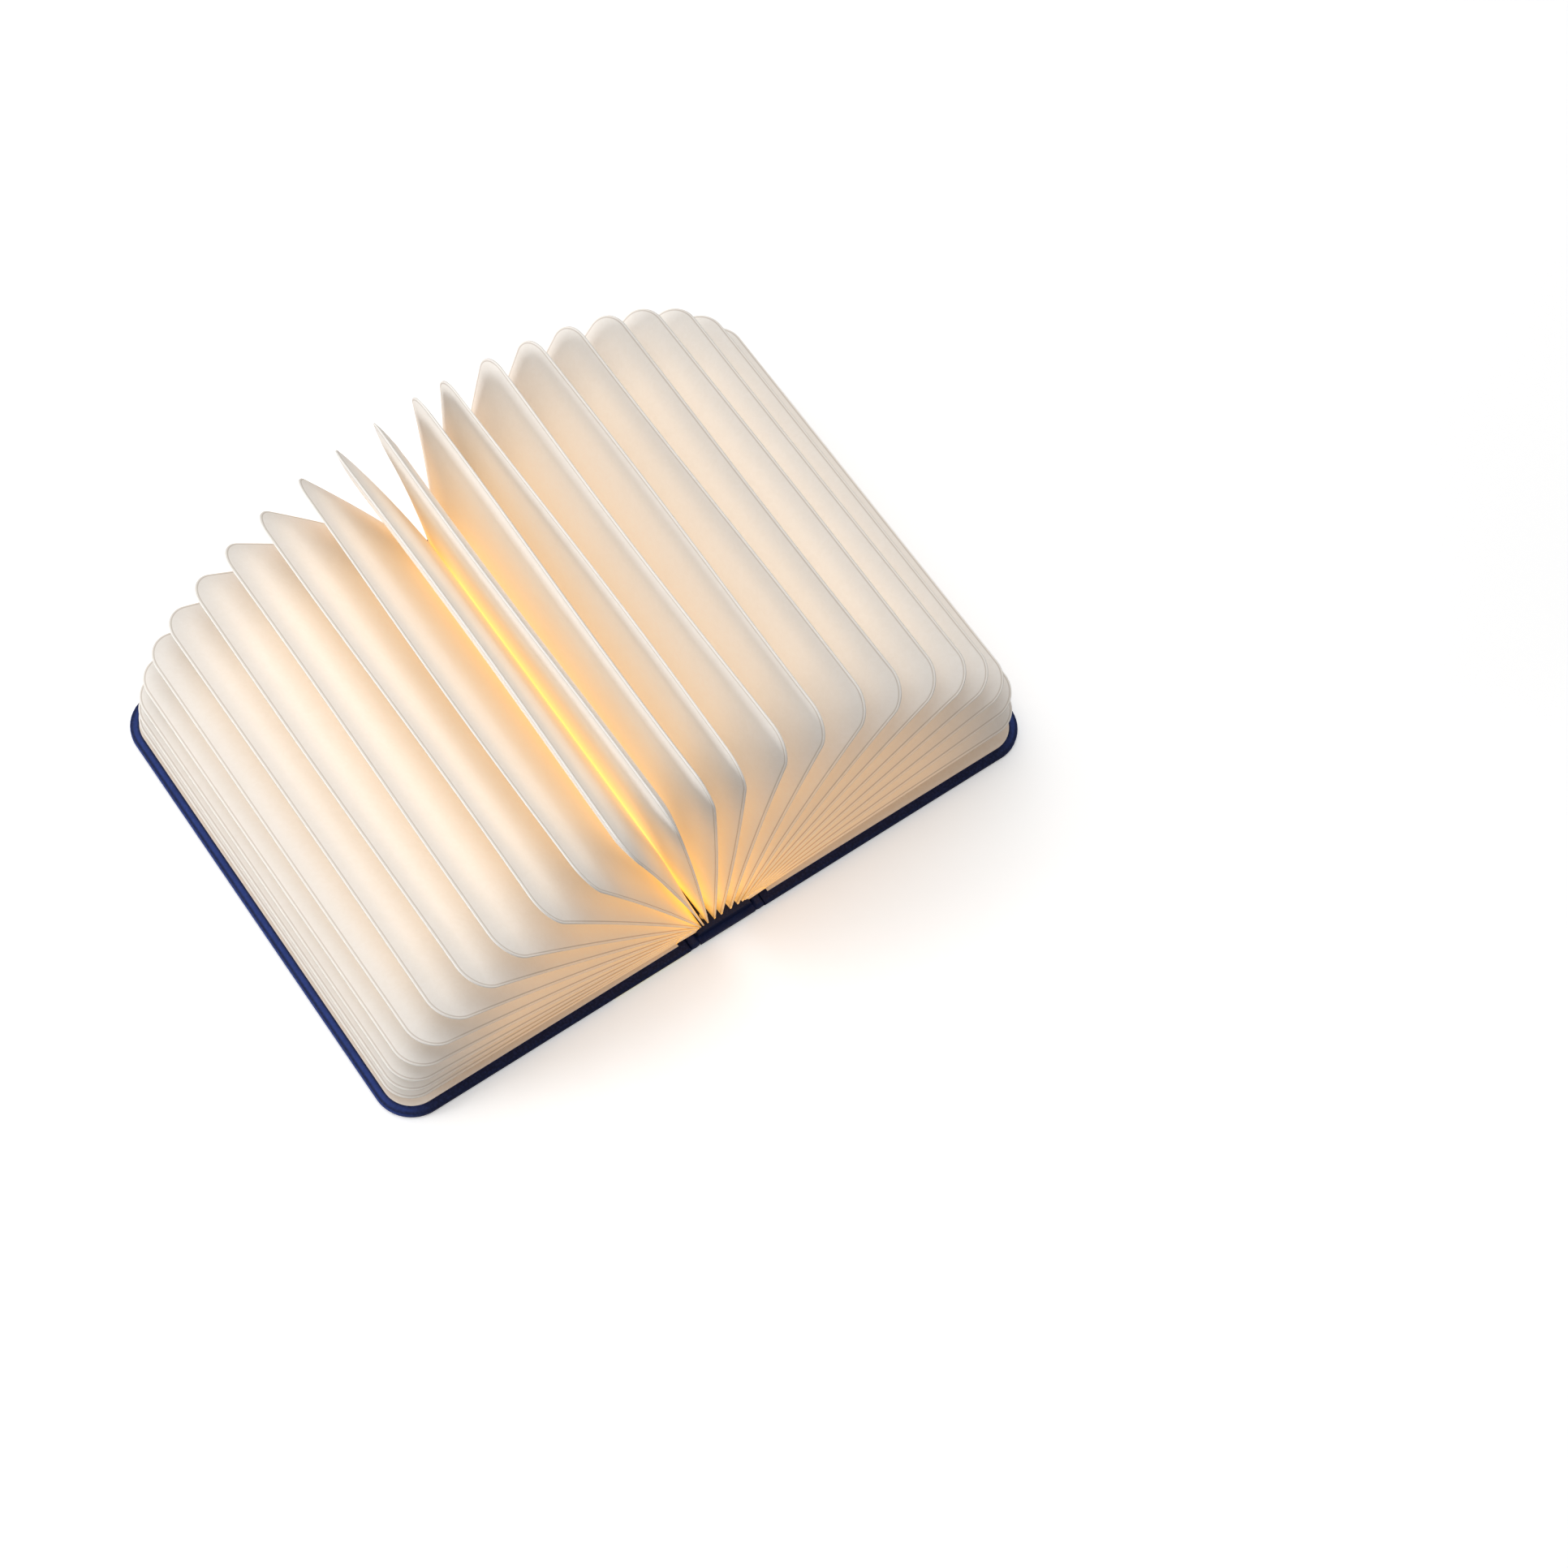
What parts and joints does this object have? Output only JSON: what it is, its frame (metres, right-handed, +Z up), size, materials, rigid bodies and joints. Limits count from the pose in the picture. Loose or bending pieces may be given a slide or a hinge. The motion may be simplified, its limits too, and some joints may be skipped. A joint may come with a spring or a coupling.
{
  "type": "folding book lamp",
  "caption": "Hardback-book lamp: two hinged covers open flat and fan out glowing paper pages on a lamp block in the spine.",
  "frame": {"origin": "below the middle of the spine, on the surface that the open covers lie on", "axes": "+X across the book from the front cover towards the back cover, +Y along the spine, +Z up"},
  "size_m": [0.2446, 0.168, 0.109],
  "materials": {
    "navy_leatherette": "fine-grained satin",
    "yellow_cloth": "woven book cloth, matte",
    "end_paper": "smooth matte",
    "page_paper": "translucent matte, lit from inside",
    "grey_board": "matte",
    "navy_plastic": "matte",
    "diffuser_plastic": "frosted",
    "led_package": "glossy",
    "white_board": "solder-mask gloss",
    "green_board": "solder-mask gloss",
    "black_plastic": "matte",
    "battery_foil": "satin foil",
    "red_lead": "satin",
    "port_steel": "satin",
    "magnet_plate": "nickel-plated"
  },
  "bodies": {
    "spine": {"spine_board": "grey_board", "spine_lining": "navy_leatherette", "spine_cloth": "yellow_cloth", "hinge_core_front": "navy_leatherette", "hinge_roll_back": "navy_leatherette", "lamp_housing": "navy_plastic", "lamp_lid": "navy_plastic", "diffuser": "diffuser_plastic", "led_strip_left": "white_board", "led_strip_right": "white_board", "leds_left": "led_package", "leds_right": "led_package", "battery": "battery_foil", "battery_leads": "red_lead", "control_board": "green_board", "hall_sensor": "black_plastic", "usb_shell": "port_steel", "usb_tongue": "black_plastic", "lid_screws": "port_steel"},
    "front_cover": {"front_board": "grey_board", "front_skin": "navy_leatherette", "front_band": "yellow_cloth", "front_sheet": "end_paper", "front_hinge": "navy_leatherette", "front_magnets": "magnet_plate"},
    "back_cover": {"back_board": "grey_board", "back_skin": "navy_leatherette", "back_sheet": "end_paper", "back_hinge": "navy_leatherette", "back_magnets": "magnet_plate", "sensor_magnet": "magnet_plate"},
    "page_01_leaf": {"page_01": "page_paper"},
    "page_02_leaf": {"page_02": "page_paper"},
    "page_03_leaf": {"page_03": "page_paper"},
    "page_04_leaf": {"page_04": "page_paper"},
    "page_05_leaf": {"page_05": "page_paper"},
    "page_06_leaf": {"page_06": "page_paper"},
    "page_07_leaf": {"page_07": "page_paper"},
    "page_08_leaf": {"page_08": "page_paper"},
    "page_09_leaf": {"page_09": "page_paper"},
    "page_10_leaf": {"page_10": "page_paper"},
    "page_11_leaf": {"page_11": "page_paper"},
    "page_12_leaf": {"page_12": "page_paper"},
    "page_13_leaf": {"page_13": "page_paper"},
    "page_14_leaf": {"page_14": "page_paper"},
    "page_15_leaf": {"page_15": "page_paper"},
    "page_16_leaf": {"page_16": "page_paper"},
    "page_17_leaf": {"page_17": "page_paper"},
    "page_18_leaf": {"page_18": "page_paper"},
    "page_19_leaf": {"page_19": "page_paper"},
    "page_20_leaf": {"page_20": "page_paper"},
    "page_21_leaf": {"page_21": "page_paper"},
    "page_22_leaf": {"page_22": "page_paper"},
    "page_23_leaf": {"page_23": "page_paper"},
    "page_24_leaf": {"page_24": "page_paper"}
  },
  "joints": [
    {"name": "front_cover_hinge", "type": "hinge", "parent": "spine", "child": "front_cover", "pos_m": [-0.0123, 0, 0.0019], "axis": [0, 1, 0], "range_deg": [-95, 90]},
    {"name": "back_cover_hinge", "type": "hinge", "parent": "spine", "child": "back_cover", "pos_m": [0.0123, 0, 0.0019], "axis": [0, -1, 0], "range_deg": [-95, 90]},
    {"name": "page_01_hinge", "type": "hinge", "parent": "spine", "child": "page_01_leaf", "pos_m": [-0.0123, 0, 0.0019], "axis": [0, 1, 0], "range_deg": [-92.99, 88.1]},
    {"name": "page_02_hinge", "type": "hinge", "parent": "spine", "child": "page_02_leaf", "pos_m": [-0.0123, 0, 0.0019], "axis": [0, 1, 0], "range_deg": [-89.82, 85.1]},
    {"name": "page_03_hinge", "type": "hinge", "parent": "spine", "child": "page_03_leaf", "pos_m": [-0.0123, 0, 0.0019], "axis": [0, 1, 0], "range_deg": [-86.13, 81.6]},
    {"name": "page_04_hinge", "type": "hinge", "parent": "spine", "child": "page_04_leaf", "pos_m": [-0.0123, 0, 0.0019], "axis": [0, 1, 0], "range_deg": [-80.85, 76.6]},
    {"name": "page_05_hinge", "type": "hinge", "parent": "spine", "child": "page_05_leaf", "pos_m": [-0.0123, 0, 0.0019], "axis": [0, 1, 0], "range_deg": [-73.99, 70.1]},
    {"name": "page_06_hinge", "type": "hinge", "parent": "spine", "child": "page_06_leaf", "pos_m": [-0.01137, 0, 0.00221], "axis": [0, 1, 0], "range_deg": [-66.07, 62.6]},
    {"name": "page_07_hinge", "type": "hinge", "parent": "spine", "child": "page_07_leaf", "pos_m": [-0.00961, 0, 0.00281], "axis": [0, 1, 0], "range_deg": [-57.63, 54.6]},
    {"name": "page_08_hinge", "type": "hinge", "parent": "spine", "child": "page_08_leaf", "pos_m": [-0.00787, 0, 0.0034], "axis": [0, 1, 0], "range_deg": [-49.18, 46.6]},
    {"name": "page_09_hinge", "type": "hinge", "parent": "spine", "child": "page_09_leaf", "pos_m": [-0.00611, 0, 0.00399], "axis": [0, 1, 0], "range_deg": [-40.21, 38.1]},
    {"name": "page_10_hinge", "type": "hinge", "parent": "spine", "child": "page_10_leaf", "pos_m": [-0.00437, 0, 0.00458], "axis": [0, 1, 0], "range_deg": [-31.77, 30.1]},
    {"name": "page_11_hinge", "type": "hinge", "parent": "spine", "child": "page_11_leaf", "pos_m": [-0.00263, 0, 0.00516], "axis": [0, 1, 0], "range_deg": [-23.32, 22.1]},
    {"name": "page_12_hinge", "type": "hinge", "parent": "spine", "child": "page_12_leaf", "pos_m": [-0.00087, 0, 0.00576], "axis": [0, 1, 0], "range_deg": [-15.41, 14.6]},
    {"name": "page_13_hinge", "type": "hinge", "parent": "spine", "child": "page_13_leaf", "pos_m": [0, 0, 0.00605], "axis": [0, 1, 0], "range_deg": [-7.49, 7.1]},
    {"name": "page_14_hinge", "type": "hinge", "parent": "spine", "child": "page_14_leaf", "pos_m": [0, 0, 0.00605], "axis": [0, 1, 0], "range_deg": [-1.16, 1.1]},
    {"name": "page_15_hinge", "type": "hinge", "parent": "spine", "child": "page_15_leaf", "pos_m": [0.00437, 0, 0.00458], "axis": [0, -1, 0], "range_deg": [-7.49, 7.1]},
    {"name": "page_16_hinge", "type": "hinge", "parent": "spine", "child": "page_16_leaf", "pos_m": [0.00611, 0, 0.00399], "axis": [0, -1, 0], "range_deg": [-15.93, 15.1]},
    {"name": "page_17_hinge", "type": "hinge", "parent": "spine", "child": "page_17_leaf", "pos_m": [0.00787, 0, 0.0034], "axis": [0, -1, 0], "range_deg": [-24.38, 23.1]},
    {"name": "page_18_hinge", "type": "hinge", "parent": "spine", "child": "page_18_leaf", "pos_m": [0.00961, 0, 0.00281], "axis": [0, -1, 0], "range_deg": [-32.82, 31.1]},
    {"name": "page_19_hinge", "type": "hinge", "parent": "spine", "child": "page_19_leaf", "pos_m": [0.01137, 0, 0.00221], "axis": [0, -1, 0], "range_deg": [-41.79, 39.6]},
    {"name": "page_20_hinge", "type": "hinge", "parent": "spine", "child": "page_20_leaf", "pos_m": [0.0123, 0, 0.0019], "axis": [0, -1, 0], "range_deg": [-50.77, 48.1]},
    {"name": "page_21_hinge", "type": "hinge", "parent": "spine", "child": "page_21_leaf", "pos_m": [0.0123, 0, 0.0019], "axis": [0, -1, 0], "range_deg": [-60.27, 57.1]},
    {"name": "page_22_hinge", "type": "hinge", "parent": "spine", "child": "page_22_leaf", "pos_m": [0.0123, 0, 0.0019], "axis": [0, -1, 0], "range_deg": [-69.77, 66.1]},
    {"name": "page_23_hinge", "type": "hinge", "parent": "spine", "child": "page_23_leaf", "pos_m": [0.0123, 0, 0.0019], "axis": [0, -1, 0], "range_deg": [-79.27, 75.1]},
    {"name": "page_24_hinge", "type": "hinge", "parent": "spine", "child": "page_24_leaf", "pos_m": [0.0123, 0, 0.0019], "axis": [0, -1, 0], "range_deg": [-88.77, 84.1]}
  ],
  "couplings": [
    {"joint": "page_01_hinge", "follows": "front_cover_hinge", "ratio": 0.97778},
    {"joint": "page_02_hinge", "follows": "front_cover_hinge", "ratio": 0.94444},
    {"joint": "page_03_hinge", "follows": "front_cover_hinge", "ratio": 0.90556},
    {"joint": "page_04_hinge", "follows": "front_cover_hinge", "ratio": 0.85},
    {"joint": "page_05_hinge", "follows": "front_cover_hinge", "ratio": 0.77778},
    {"joint": "page_06_hinge", "follows": "front_cover_hinge", "ratio": 0.69444},
    {"joint": "page_07_hinge", "follows": "front_cover_hinge", "ratio": 0.60556},
    {"joint": "page_08_hinge", "follows": "front_cover_hinge", "ratio": 0.51667},
    {"joint": "page_09_hinge", "follows": "front_cover_hinge", "ratio": 0.42222},
    {"joint": "page_10_hinge", "follows": "front_cover_hinge", "ratio": 0.33333},
    {"joint": "page_11_hinge", "follows": "front_cover_hinge", "ratio": 0.24444},
    {"joint": "page_12_hinge", "follows": "front_cover_hinge", "ratio": 0.16111},
    {"joint": "page_13_hinge", "follows": "front_cover_hinge", "ratio": 0.077778},
    {"joint": "page_14_hinge", "follows": "front_cover_hinge", "ratio": 0.011111},
    {"joint": "page_15_hinge", "follows": "back_cover_hinge", "ratio": 0.077778},
    {"joint": "page_16_hinge", "follows": "back_cover_hinge", "ratio": 0.16667},
    {"joint": "page_17_hinge", "follows": "back_cover_hinge", "ratio": 0.25556},
    {"joint": "page_18_hinge", "follows": "back_cover_hinge", "ratio": 0.34444},
    {"joint": "page_19_hinge", "follows": "back_cover_hinge", "ratio": 0.43889},
    {"joint": "page_20_hinge", "follows": "back_cover_hinge", "ratio": 0.53333},
    {"joint": "page_21_hinge", "follows": "back_cover_hinge", "ratio": 0.63333},
    {"joint": "page_22_hinge", "follows": "back_cover_hinge", "ratio": 0.73333},
    {"joint": "page_23_hinge", "follows": "back_cover_hinge", "ratio": 0.83333},
    {"joint": "page_24_hinge", "follows": "back_cover_hinge", "ratio": 0.93333}
  ]
}
